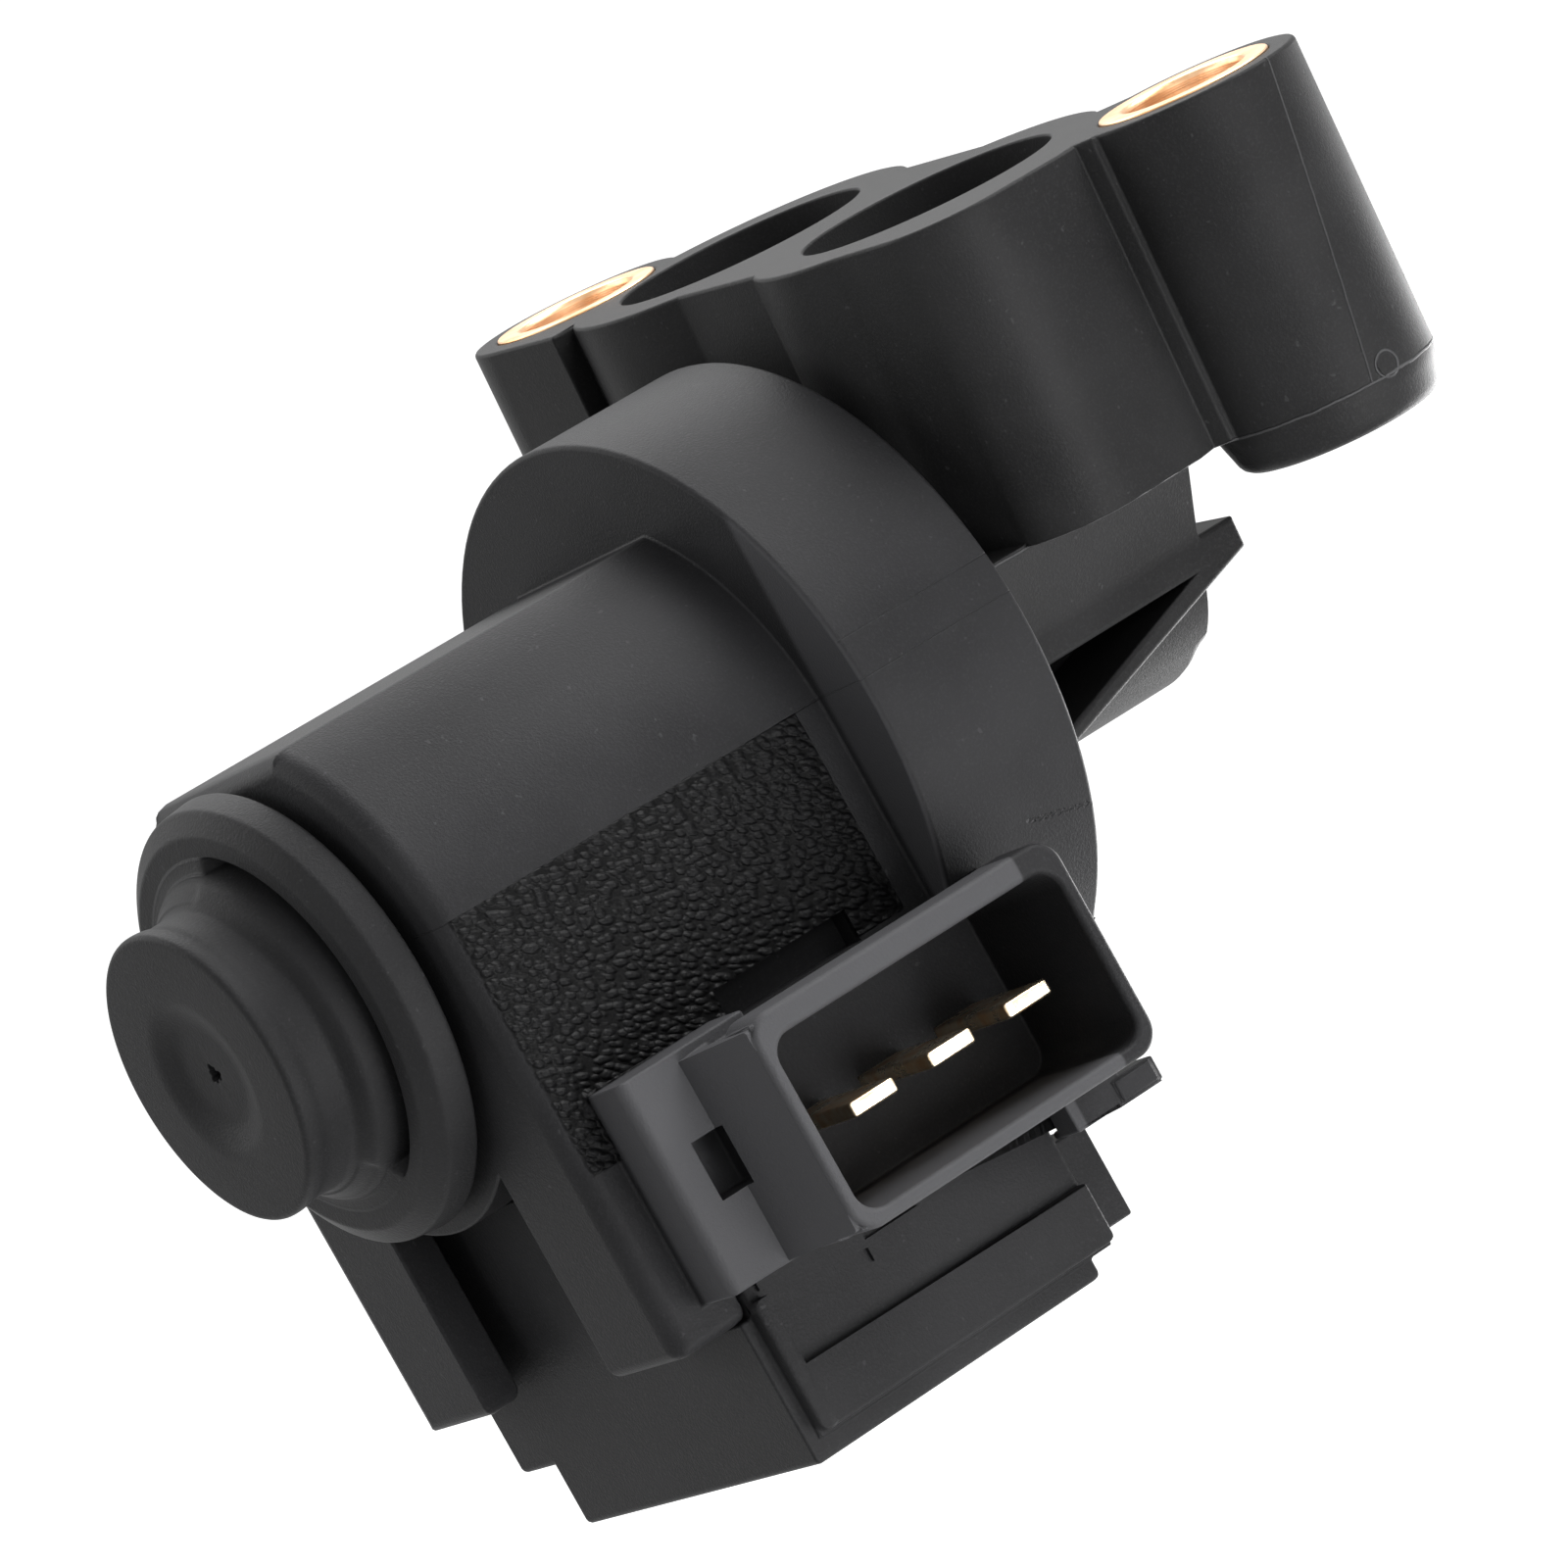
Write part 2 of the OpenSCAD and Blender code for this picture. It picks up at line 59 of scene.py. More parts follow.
# ---------------------------------------------------------------------------------------------
# Motor housing: one moulding in glass-filled nylon, with the disk, the motor body, its two legs
# and the cable socket. It is left smooth above the parting line and leather-grained below it.

motor_turn = radians(7)
disk_x, motor_z, disk_r = -23.7 * mm, -21.2 * mm, 18.4 * mm
# The rest is in the motor's frame: X from the disk face, Y and Z from the turned motor axis
body_front, body_r, body_top = -24.1 * mm, 14 * mm, 12.1 * mm
leg_low, leg_back, tube_inside = -22 * mm, -19 * mm, 13.2 * mm
rim_y, rim_back, side_block_y, side_block_left = -22.3 * mm, -19.3 * mm, -17.4 * mm, -21.8 * mm
blade_z, blade_slot, socket_floor = -15.6 * mm, 0.5 * mm, -14 * mm
# Two opposite corners, in mm, of a box round the cheek beside the rim, the window and the latch recess
small_forms = (((-18.8, -22.25, -23), (-16.6, -17.2, -5)), ((-21.6, -18, -20.2), (-18.2, -10, -9.2)),
               ((-18, -14.5, -9.8), (-1, -12, -7.7)))
parting_z, grain_low, grain_back, grain_lean = 1.4 * mm, -12.4 * mm, -1.5 * mm, radians(-30)
connector_left, connector_top, connector_low = -19.4 * mm, -9.4 * mm, -23 * mm
rim_seam_z, flash_z, flash_slope = 3.55 * mm, -7.45 * mm, 0.23
grain_stretch, grain_scale, grain_depth = (0.62, 1.0, 1.15), 2700, 0.12 * mm
nylon_black = (0.0125, 0.0125, 0.0132, 1)
skin_scale, speck_scale, cloud_scale = 7000, 2600, 110
sharp_angle, bevel_steps, same_point = radians(24), 3, 2e-6


class Wire:
    """A value in a material: arithmetic on it adds Math nodes, so 1 - mask and mask * 0.5 work."""

    def __init__(self, tree, socket):
        self.tree, self.socket = tree, socket

    def math(self, operation, *others):
        """A Math node with this value in its first socket and the others in the next ones."""
        node = self.tree.nodes.new("ShaderNodeMath")
        node.operation = operation
        for place, value in zip(node.inputs, (self, *others)):
            feed(self.tree, place, value)
        return Wire(self.tree, node.outputs[0])

    def __add__(self, other):
        return self.math("ADD", other)

    def __sub__(self, other):
        return self.math("SUBTRACT", other)

    def __rsub__(self, other):
        return self.math("MULTIPLY_ADD", -1.0, other)

    def __mul__(self, other):
        return self.math("MULTIPLY", other)

    def __abs__(self):
        return self.math("ABSOLUTE")

    __radd__, __rmul__ = __add__, __mul__

    def ramp(self, low, high):
        """0 below low, 1 above high and a smooth step between them."""
        node = self.tree.nodes.new("ShaderNodeMapRange")
        node.interpolation_type = "SMOOTHSTEP"
        for name, value in (("Value", self), ("From Min", low), ("From Max", high)):
            feed(self.tree, node.inputs[name], value)
        return Wire(self.tree, node.outputs[0])

    def between(self, low, high, soft):
        """1 from low to high and 0 outside, with soft edges."""
        return self.ramp(low - soft, low + soft) * (1 - self.ramp(high - soft, high + soft))


def feed(tree, place, value):
    """Links a wire to a socket, or sets the socket to a plain value."""
    if isinstance(value, Wire):
        tree.links.new(value.socket, place)
    else:
        place.default_value = value


class Finish:
    """A material with one Principled shader, and one method that adds any other node."""

    def __init__(self, name, color, roughness, **shader):
        self.material = bpy.data.materials.new(name)
        self.material.use_nodes = True
        self.material.diffuse_color = color
        self.tree = self.material.node_tree
        self.shader = self.tree.nodes["Principled BSDF"]
        self.set(**{"Base Color": color, "Roughness": roughness}, **shader)

    def set(self, **sockets):
        for name, value in sockets.items():
            feed(self.tree, self.shader.inputs[name], value)

    def node(self, kind, output=0, settings=None, **sockets):
        """Adds a node: its settings first, then the values or links of its sockets. nK is socket number K."""
        node = self.tree.nodes.new("ShaderNode" + kind)
        for name, value in (settings or {}).items():
            setattr(node, name, value)
        for name, value in sockets.items():
            key = int(name[1:]) if name[1:].isdigit() else name.replace("_", " ")
            feed(self.tree, node.inputs[key], value)
        return Wire(self.tree, node.outputs[output])

    def place(self, stretch=(1, 1, 1)):
        """Object coordinates, stretched."""
        return self.node("Mapping", Vector=self.node("TexCoord", "Object"), Scale=stretch)

    def noise(self, where, scale, detail=2.0, rough=0.5):
        return self.node("TexNoise", 0, Vector=where, Scale=scale, Detail=detail, Roughness=rough)

    def axes(self, where):
        """The X, Y and Z of a vector."""
        node = self.tree.nodes.new("ShaderNodeSeparateXYZ")
        feed(self.tree, node.inputs[0], where)
        return [Wire(self.tree, out) for out in node.outputs]

    def mix(self, factor, a, b):
        """A colour between a and b."""
        return self.node("Mix", 2, {"data_type": "RGBA"}, n0=factor, n6=a, n7=b)

    def bump(self, height, depth, under=None):
        """A normal raised by height times depth, in metres, over another bumped normal."""
        extra = {} if under is None else {"Normal": under}
        return self.node("Bump", Height=height, Distance=depth, Strength=1.0, **extra)


def shade(color, factor):
    """A colour made darker or lighter."""
    return tuple(min(1.0, channel * factor) for channel in color[:3]) + (1,)


def moulded(name, color, rough, fine=0.03 * mm):
    """Moulded nylon: a fine eroded skin, faint flow clouds, and pale dust specks in it."""
    skin = Finish(name, color, rough)
    here = skin.place()
    skin.grain = skin.noise(here, skin_scale, 3, 0.6)
    skin.cloud = skin.noise(here, cloud_scale, 3)
    speck = skin.noise(here, speck_scale, 1).ramp(0.72, 0.8)
    tint = skin.mix(skin.cloud.ramp(0.3, 0.7), shade(color, 0.85), shade(color, 1.25))
    tint = skin.mix(skin.grain.ramp(0.45, 0.8) * 0.5, tint, shade(color, 2.0))
    skin.tint = skin.mix(speck * 0.5, tint, shade(color, 3.0))
    skin.skin = skin.bump(skin.grain, fine)
    skin.gloss = rough - 0.05 + 0.1 * skin.cloud
    skin.set(**{"Base Color": skin.tint, "Roughness": skin.gloss, "Normal": skin.skin,
                "Specular IOR Level": 0.06})
    return skin


def in_motor(points):
    """Row-frame points in the motor's frame: X from the disk face, Y and Z from the turned motor axis."""
    y, z = points[:, 1], points[:, 2] - motor_z
    return np.column_stack([points[:, 0] - disk_x, y * cos(motor_turn) - z * sin(motor_turn),
                            y * sin(motor_turn) + z * cos(motor_turn)])


def out_of_motor(points):
    """Motor-frame points in the row frame, for an array of any shape that ends in X, Y, Z."""
    x, y, z = np.moveaxis(points, -1, 0)
    return np.stack([x + disk_x, y * cos(motor_turn) + z * sin(motor_turn),
                     motor_z - y * sin(motor_turn) + z * cos(motor_turn)], -1)


def linked(name, mesh):
    """A new object in the scene."""
    thing = bpy.data.objects.new(name, mesh)
    bpy.context.scene.collection.objects.link(thing)
    return thing


def softened(node, name, rounds):
    """A merged copy of a CAD node with rounded edges. rounds is a list of (radius, test). A test takes the
    two ends of every edge as arrays and says which edges get that radius, and the last one that says so
    wins. A sharp edge with no radius stays sharp."""
    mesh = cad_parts[node].data.copy()
    mesh.name = name
    bm = bmesh.new()
    bm.from_mesh(mesh)
    bmesh.ops.remove_doubles(bm, verts=bm.verts, dist=same_point)
    bmesh.ops.dissolve_limit(bm, angle_limit=radians(0.3), verts=bm.verts, edges=bm.edges)
    bm.edges.index_update()
    angle = np.array([edge.calc_face_angle(0.0) for edge in bm.edges])
    ends = np.array([[end.co for end in edge.verts] for edge in bm.edges])
    radius = np.zeros(len(ends))
    for size, test in rounds:
        radius[test(ends[:, 0], ends[:, 1])] = size
    is_sharp = angle > sharp_angle
    radius[~is_sharp] = 0
    bm.to_mesh(mesh)
    bm.free()
    mesh.materials.clear()
    mesh.polygons.foreach_set("use_smooth", np.ones(len(mesh.polygons), bool))
    stays_sharp = mesh.attributes.new("sharp_edge", "BOOLEAN", "EDGE")
    stays_sharp.data.foreach_set("value", is_sharp & (radius == 0))
    weight = mesh.attributes.new("bevel_weight_edge", "FLOAT", "EDGE")
    weight.data.foreach_set("value", (radius / radius.max()).astype(np.float32))
    thing = linked(name, mesh)
    bevel = thing.modifiers.new("round_edges", "BEVEL")
    bevel.limit_method = "WEIGHT"
    bevel.offset_type = "OFFSET"
    bevel.width = radius.max()
    bevel.segments = bevel_steps
    bevel.use_clamp_overlap = False
    flat = thing.modifiers.new("flat_faces", "WEIGHTED_NORMAL")
    flat.weight = 100
    flat.keep_sharp = True
    return thing


def every_edge(a, b):
    return np.ones(len(a), bool)


def on_motor(test):
    """A test of edges whose ends are given in the motor's frame."""
    return lambda a, b: test(in_motor(a), in_motor(b))


def at(values, place, slack=0.06 * mm):
    """Which values are at one place."""
    return np.abs(values - place) < slack


def radial(points):
    """How far points are from the X axis."""
    return np.hypot(points[:, 1], points[:, 2])


@on_motor
def disk_edges(a, b):
    return at(radial(a), disk_r) & at(radial(b), disk_r)


@on_motor
def body_front_edges(a, b):
    outer = [(at(radial(p), body_r) & (p[:, 2] > -0.1 * mm)) | at(p[:, 2], body_top)
             | at(abs(p[:, 1]), body_r) for p in (a, b)]
    return at(a[:, 0], body_front) & at(b[:, 0], body_front) & outer[0] & outer[1]


@on_motor
def leg_edges(a, b):
    return at(a[:, 2], leg_low) & at(b[:, 2], leg_low) & (a[:, 0] < leg_back) & (b[:, 0] < leg_back)


@on_motor
def rim_edges(a, b):
    return at(a[:, 1], rim_y) & at(b[:, 1], rim_y)


def inside(points, low, high):
    """Which points lie in a box, given by two opposite corners in mm."""
    return np.all((points > np.array(low) * mm) & (points < np.array(high) * mm), axis=1)


@on_motor
def side_block_edges(a, b):
    return (a[:, 1] < side_block_y + 0.1 * mm) & (b[:, 1] < side_block_y + 0.1 * mm) \
        & at(a[:, 0], side_block_left) & at(b[:, 0], side_block_left)


@on_motor
def small_edges(a, b):
    """The small forms of the connector, and the back edges of its rim."""
    return np.any([inside(a, *box) & inside(b, *box) for box in small_forms], axis=0) \
        | (at(a[:, 1], rim_back, 0.12 * mm) & at(b[:, 1], rim_back, 0.12 * mm))


@on_motor
def blade_slots(a, b):
    return at(a[:, 2], blade_z, blade_slot) & at(b[:, 2], blade_z, blade_slot) & (a[:, 1] > socket_floor)


@on_motor
def inside_edges(a, b):
    return (radial(a) < tube_inside) & (radial(b) < tube_inside) & (a[:, 0] > body_front + 0.1 * mm)


housing = softened("motor_housing", "motor_moulding",
                   [(0.16 * mm, every_edge), (0.3 * mm, disk_edges), (0.35 * mm, rim_edges),
                    (0.6 * mm, side_block_edges), (0.6 * mm, leg_edges), (1.1 * mm, body_front_edges),
                    (0.0, small_edges), (0.0, blade_slots), (0.0, inside_edges)])

nylon = moulded("housing_nylon", nylon_black, 0.5)
here = nylon.node("VectorMath", 0, {"operation": "SUBTRACT"}, n0=nylon.node("TexCoord", "Object"),
                  n1=(disk_x, 0, motor_z))
motor = nylon.node("VectorRotate", 0, {"rotation_type": "X_AXIS"}, Vector=here, Angle=motor_turn)
along, across, up = nylon.axes(motor)
on_side = across.between(-body_r - 0.3 * mm, -body_r + 0.3 * mm, 0.05 * mm)
on_connector = along.between(connector_left, 1 * mm, 0.05 * mm) \
    * up.between(connector_low, connector_top, 0.05 * mm)
grained = up.between(grain_low, parting_z, 0.05 * mm) * (1 - along.ramp(grain_back - 0.1 * mm, grain_back)) \
    * on_side * along.ramp(body_front + 0.6 * mm, body_front + 0.8 * mm) * (1 - on_connector)
leaning = nylon.node("VectorRotate", 0, {"rotation_type": "Y_AXIS"}, Vector=motor, Angle=grain_lean)
stretched = nylon.node("Mapping", Vector=leaning, Scale=grain_stretch)
uneven = nylon.noise(stretched, 1500, 2) * (0.25 * mm)
cells = nylon.node("TexVoronoi", 0, {"feature": "SMOOTH_F1"}, Scale=grain_scale, Smoothness=0.35,
                   Vector=nylon.node("VectorMath", 0, n0=stretched, n1=uneven))
pebbles = 1 - cells.ramp(0.22, 0.72)
rough_tops = nylon.noise(motor, 4200, 2).ramp(0.35, 0.65)
leather = (pebbles * (0.9 + 0.1 * rough_tops)) * grained
# Painted light: the connector's faces that stand out past the motor body's side, ahead of the disk, are
# painted four times lighter, as if lit more strongly
connector_painted_light = (1 - across.ramp(-14.8 * mm, -14.2 * mm)) * (1 - along.ramp(0, 0.2 * mm)) * 0.8
body_seam = abs(up - parting_z).ramp(0.0, 0.06 * mm)
rim_seam = 1 - (1 - abs(up - rim_seam_z).ramp(0.0, 0.07 * mm)) * along.ramp(0, 0.1 * mm)
from_flash = abs(up + flash_slope * along - flash_z + 0.12 * mm * rough_tops)
flash = 1 - (1 - from_flash.ramp(0.03 * mm, 0.12 * mm)) * along.ramp(5.5 * mm, 5.7 * mm)
relief = nylon.bump(flash, 0.1 * mm, nylon.skin)
relief = nylon.bump(body_seam * rim_seam, 0.04 * mm, relief)
relief = nylon.bump(leather, grain_depth, relief)
connector_lit_tint = nylon.mix(connector_painted_light, nylon.tint, shade(nylon_black, 4.0))
# Painted shade: the grained zone is painted darker than the smooth nylon, and darkest in the valleys between
# the pebbles
painted_light_and_shade_tint = nylon.mix(grained * (1.0 - 0.35 * pebbles), connector_lit_tint, shade(nylon_black, 0.12))
nylon.set(**{"Normal": relief, "Roughness": nylon.gloss - 0.1 * grained + 0.05 * leather,
             "Base Color": painted_light_and_shade_tint})
housing.data.materials.append(nylon.material)
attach(housing, "housing")
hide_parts("motor_housing")


# ---------------------------------------------------------------------------------------------
# End cap: a round nylon plug, pressed into the front of the motor body over the front bearing.
# Its face has a shallow dish with the torn gate at the middle, and a C-shaped groove beside the stem.

cap_black = (0.0125, 0.0125, 0.013, 1)
pit_r, groove_from, groove_to, cap_sides = 0.46 * mm, radians(15), radians(151), 160
# X from the disk face and radius, in mm, with how far each corner is rounded
cap_corners = np.array([
    (-30.6, 0, 0), (-30.7, 0.36, 0.1), (-31.2, 0.46, 0.06), (-31.2, 2.6, 0.4), (-31.8, 4.1, 0.4),
    (-31.8, 7.72, 0.4), (-31.0, 7.72, 0.35), (-30.4, 7.55, 0.3), (-28.9, 7.6, 0.35), (-28.6, 8.1, 0.2),
    (-28.3, 8.6, 0.25), (-27.5, 8.75, 0.3), (-25.0, 8.85, 0.15), (-25.0, 9.5, 0.15), (-27.2, 9.6, 0.12),
    (-27.2, 10.65, 0.15), (-26.5, 11.75, 0.2), (-24.9, 11.95, 0.2), (-24.6, 11.4, 0.2), (-24.6, 8.6, 0),
    (-24.1, 8.0, 0.1), (-20.6, 8.0, 0.3), (-20.6, 3.2, 0.1), (-24.4, 3.2, 0.1), (-24.4, 0, 0)])
# The same corners where the groove isn't: the stem's flange runs out into the face of the ring
plain_x = cap_corners[:, 0].copy()
plain_x[9:15] = (-28.4, -27.9, -27.6, -27.4, -27.25, -27.2)
plain_cuts = cap_corners[:, 2].copy()
plain_cuts[9:15] = 1


def rounded_line(corners, cuts, steps=7):
    """A line through corners, each replaced by a parabola between the points one cut before and after it.
    A cut takes less than half of a side."""
    ahead = np.diff(corners, axis=0)
    sides = np.linalg.norm(ahead, axis=1, keepdims=True)
    ahead = ahead / sides
    before, after = np.vstack([ahead[:1], ahead]), np.vstack([ahead, ahead[-1:]])
    shortest = np.minimum(np.vstack([sides[:1], sides]), np.vstack([sides, sides[-1:]]))
    cuts = np.minimum(cuts[:, None], 0.49 * shortest)
    t = np.linspace(0, 1, steps)[None, :, None]
    start, end, corner = (v[:, None, :] for v in (corners - before * cuts, corners + after * cuts, corners))
    return ((1 - t) ** 2 * start + 2 * t * (1 - t) * corner + t ** 2 * end).reshape(-1, 2)


def skin_of(name, grid):
    """A closed surface from a grid of points, rows by columns: the columns go round, the first and last row
    close on themselves, points that fall together are merged and the faces turned outwards."""
    rows, columns = grid.shape[:2]
    corner = np.arange((rows - 1) * columns).reshape(rows - 1, columns)
    beside = np.roll(corner, -1, axis=1)
    faces = np.stack([corner, beside, beside + columns, corner + columns], -1).reshape(-1, 4)
    mesh = bpy.data.meshes.new(name)
    mesh.from_pydata(grid.reshape(-1, 3), [], faces)
    bm = bmesh.new()
    bm.from_mesh(mesh)
    bmesh.ops.remove_doubles(bm, verts=bm.verts, dist=same_point)
    bmesh.ops.dissolve_degenerate(bm, dist=same_point, edges=bm.edges)
    bmesh.ops.recalc_face_normals(bm, faces=bm.faces)
    bm.to_mesh(mesh)
    bm.free()
    mesh.polygons.foreach_set("use_smooth", np.ones(len(mesh.polygons), bool))
    return linked(name, mesh)


def turned(line, count, other, share):
    """Points of a line of (X, radius) turned about the X axis, the angle from +Z towards -Y. Where share is
    above 0 the line gives way to the other one by that share."""
    angle = np.linspace(0, 2 * pi, count, endpoint=False)
    x, r = np.repeat(line[:, :1], count, 1), line[:, 1:]
    x = x * (1 - share(angle)) + other[:, :1] * share(angle)
    return np.stack([x, -r * np.sin(angle), r * np.cos(angle)], -1)


def outside_groove(angle):
    """0 along the groove, 1 outside it, with run-outs of a few degrees."""
    run = radians(4)
    before = np.clip((groove_from - angle) / run + 0.5, 0, 1)
    after = np.clip((angle - groove_to) / run + 0.5, 0, 1)
    rise = np.clip(before + after, 0, 1)
    return rise ** 2 * (3 - 2 * rise)


cap_line = rounded_line(cap_corners[:, :2] * mm, cap_corners[:, 2] * mm)
cap_plain = rounded_line(np.column_stack([plain_x, cap_corners[:, 1]]) * mm, plain_cuts * mm)
cap_points = turned(cap_line, cap_sides, cap_plain, outside_groove)
# The gate was torn off, so its pit isn't round
turn_at = np.arctan2(cap_points[..., 1], cap_points[..., 2])
near_gate = np.exp(-(radial(cap_points.reshape(-1, 3)).reshape(turn_at.shape) / pit_r / 1.6) ** 2)
torn = 0.3 * np.sin(3 * turn_at + 1) + 0.2 * np.sin(7 * turn_at)
cap_points[..., 1:] *= (1 + near_gate * torn)[..., None]
cap = skin_of("cap_moulding", out_of_motor(cap_points))

cap_nylon = moulded("cap_nylon", cap_black, 0.52, 0.035 * mm)
cap.data.materials.append(cap_nylon.material)
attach(cap, "housing")
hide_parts("end_cap")


# ---------------------------------------------------------------------------------------------
# Coil cover: a separate nylon box snapped up between the legs over the coil, with a ledged panel on the
# socket's side.

cover_low, cover_high, cover_back = -29.7 * mm, -23 * mm, -20 * mm
panel_y, ledge_z = -14.2 * mm, -25.3 * mm
panel_left, panel_right, panel_low, panel_top = -19.8 * mm, -0.6 * mm, -28.4 * mm, -21.5 * mm


@on_motor
def cover_outer(a, b):
    return ((a[:, 2] < cover_high) & (b[:, 2] < cover_high) & (a[:, 0] < cover_back)) \
        | (at(a[:, 2], cover_low) & at(b[:, 2], cover_low))


def on_panel(a, b):
    return (a[:, 1] < panel_y + 0.1 * mm) & (b[:, 1] < panel_y + 0.1 * mm)


def panel_outline(a, b):
    sides = [at(a[:, axis], place) & at(b[:, axis], place)
             for axis, place in ((0, panel_left), (0, panel_right), (2, panel_low), (2, ledge_z))]
    return on_panel(a, b) & (sides[0] | sides[1] | sides[2] | sides[3])


def panel_corners(a, b):
    at_end = at(a[:, 0], panel_right) | at(a[:, 0], panel_left)
    at_corner = at_end & (at(a[:, 2], panel_low) | (a[:, 2] > panel_top))
    inwards = at(a[:, 0], b[:, 0]) & at(a[:, 2], b[:, 2])
    return at_corner & inwards & (np.minimum(a[:, 1], b[:, 1]) < panel_y + 0.1 * mm)


cover = softened("coil_cover", "cover_moulding",
                 [(0.15 * mm, every_edge), (0.35 * mm, cover_outer), (0.0, on_motor(on_panel)),
                  (0.15 * mm, on_motor(panel_outline)), (0.5 * mm, on_motor(panel_corners))])
cover_nylon = moulded("cover_nylon", (0.0125, 0.0125, 0.0131, 1), 0.5)
cover.data.materials.append(cover_nylon.material)
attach(cover, "housing")
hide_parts("coil_cover")


# ---------------------------------------------------------------------------------------------
# Terminals: three blades stamped from brass strip and plated, moulded into the housing.

plating, tarnished_plating = (0.97, 0.82, 0.6, 1), (0.8, 0.52, 0.28, 1)
terminal_metal = Finish("terminal_brass", (0.9, 0.68, 0.36, 1), 0.26, Metallic=1.0)
drawn = terminal_metal.place(stretch=(1, 0.08, 1))
lines = terminal_metal.noise(drawn, 9000, 3)
tarnish = terminal_metal.noise(terminal_metal.place(), 900, 3)
terminal_metal.set(**{
    "Base Color": terminal_metal.mix(tarnish.ramp(0.4, 0.75), plating, tarnished_plating),
    "Roughness": 0.2 + 0.18 * tarnish, "Normal": terminal_metal.bump(lines, 0.008 * mm)})
for number in (1, 2, 3):
    blade = softened(f"terminal_{number}", f"blade_{number}", [(0.18 * mm, every_edge)])
    blade.data.materials.append(terminal_metal.material)
    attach(blade, "housing")
    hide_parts(f"terminal_{number}")


# ---------------------------------------------------------------------------------------------
# Valve housing: one nylon moulding with the port block, the two screw bosses, the braced shoulders and the
# round slide chamber. The halves of its mould met along the block's lower edge and down the near boss.

bolt_x, bolt_y, boss_r, block_low, foot_low = 6.1 * mm, -20.57 * mm, 5.95 * mm, -16.5 * mm, -18.8 * mm
port_x, port_y, port_inside, chamber_side = -2.6 * mm, 8.95 * mm, 7.2 * mm, 9 * mm
gate_x, gate_z, gate_r, gate_sides = 5.96 * mm, -16.0 * mm, 0.6 * mm, 28
boss_seam_x, boss_seam_slope = 7.23 * mm, 0.145
seam_highlight_gray = (0.06, 0.06, 0.062, 1)


def port_face_edges(a, b):
    return at(a[:, 2], 0) & at(b[:, 2], 0)


def underside_edges(a, b):
    low = (a[:, 2] < block_low - 0.5 * mm) & (b[:, 2] < block_low - 0.5 * mm)
    return low & (abs(a[:, 1]) > chamber_side) & (abs(b[:, 1]) > chamber_side)


def chamber_end_edges(a, b):
    low = a[:, 2] < block_low - 0.5 * mm
    return low & (a[:, 0] > 3.5 * mm) & (b[:, 0] > 3.5 * mm) & (abs(a[:, 1]) < chamber_side)


def boss_foot_edges(a, b):
    return at(a[:, 2], foot_low) & at(b[:, 2], foot_low)


def radial_port(points):
    """How far points are from the axis of the nearer port."""
    return np.hypot(points[:, 0] - port_x, np.abs(points[:, 1]) - port_y)


def hollow_edges(a, b):
    return (radial_port(a) < port_inside) & (radial_port(b) < port_inside)


valve = softened("valve_housing", "valve_moulding",
                 [(0.12 * mm, every_edge), (0.22 * mm, port_face_edges), (0.3 * mm, underside_edges),
                  (0.8 * mm, chamber_end_edges), (0.5 * mm, boss_foot_edges), (0.0, hollow_edges),
                  (0.15 * mm, lambda a, b: port_face_edges(a, b) & hollow_edges(a, b))])
valve_nylon = moulded("valve_nylon", (0.013, 0.013, 0.0133, 1), 0.45, 0.02 * mm)
here = valve_nylon.place()
along, across, up = valve_nylon.axes(here)
wobble = valve_nylon.noise(here, 900, 3) * (0.16 * mm)
low_seam = 1 - abs(up - block_low + wobble - 0.08 * mm).ramp(0.03 * mm, 0.1 * mm)
near_side = 1 - across.ramp(-23 * mm, -22.6 * mm)
boss_seam = (1 - abs(along - boss_seam_x - boss_seam_slope * up + 0.5 * wobble).ramp(0.02 * mm, 0.08 * mm)) \
    * near_side * up.ramp(block_low, block_low + 0.1 * mm)
gate_square = (along - gate_x) * (along - gate_x) + (up - gate_z) * (up - gate_z)
from_gate = gate_square.math("POWER", 0.5)
gate_ring = (1 - abs(from_gate - 1.1 * gate_r).ramp(0.02 * mm, 0.1 * mm)) * near_side
seams = low_seam.math("MAXIMUM", 0.7 * boss_seam).math("MAXIMUM", gate_ring)
# The seams and the ring round the gate are raised by the bump, and also painted lighter as a painted
# highlight of their flash catching the light
valve_nylon.set(**{"Normal": valve_nylon.bump(seams, 0.1 * mm, valve_nylon.skin),
                   "Base Color": valve_nylon.mix(seams * 0.7, valve_nylon.tint, seam_highlight_gray),
                   "Specular IOR Level": 0.05})
valve.data.materials.append(valve_nylon.material)
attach(valve, "housing")
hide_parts("valve_housing")

# The trimmed gate is a flat spot on the near boss, where its two seams meet
stub_y = bolt_y - (boss_r ** 2 - (gate_x - bolt_x) ** 2) ** 0.5
stub_corners = np.array([(-0.5 * mm, 0), (-0.5 * mm, gate_r), (-0.01 * mm, gate_r), (-0.03 * mm, 0)])
stub_line = rounded_line(stub_corners, np.array([0, 0.05, 0.03, 0]) * mm, 4)
angle = np.linspace(0, 2 * pi, gate_sides, endpoint=False)
depth = np.repeat(stub_line[:, :1], gate_sides, 1)
r = stub_line[:, 1:] * (1 + 0.08 * np.sin(3 * angle + 1))
stub = skin_of("gate_stub",
               np.stack([gate_x + r * np.cos(angle), stub_y - depth, gate_z + r * np.sin(angle)], -1))
stub.data.materials.append(valve_nylon.material)
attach(stub, "housing")


# ---------------------------------------------------------------------------------------------
# Bushings: turned brass sleeves moulded into the screw bosses, standing a hair above the port face, with the
# tool's rings left in their bores.

bushing_low, bushing_high, bushing_out, bushing_in = -16 * mm, 0.1 * mm, 4.55 * mm, 3.2 * mm
brass, tarnished_brass, sleeve_sides = (0.8, 0.52, 0.31, 1), (0.56, 0.3, 0.14, 1), 96
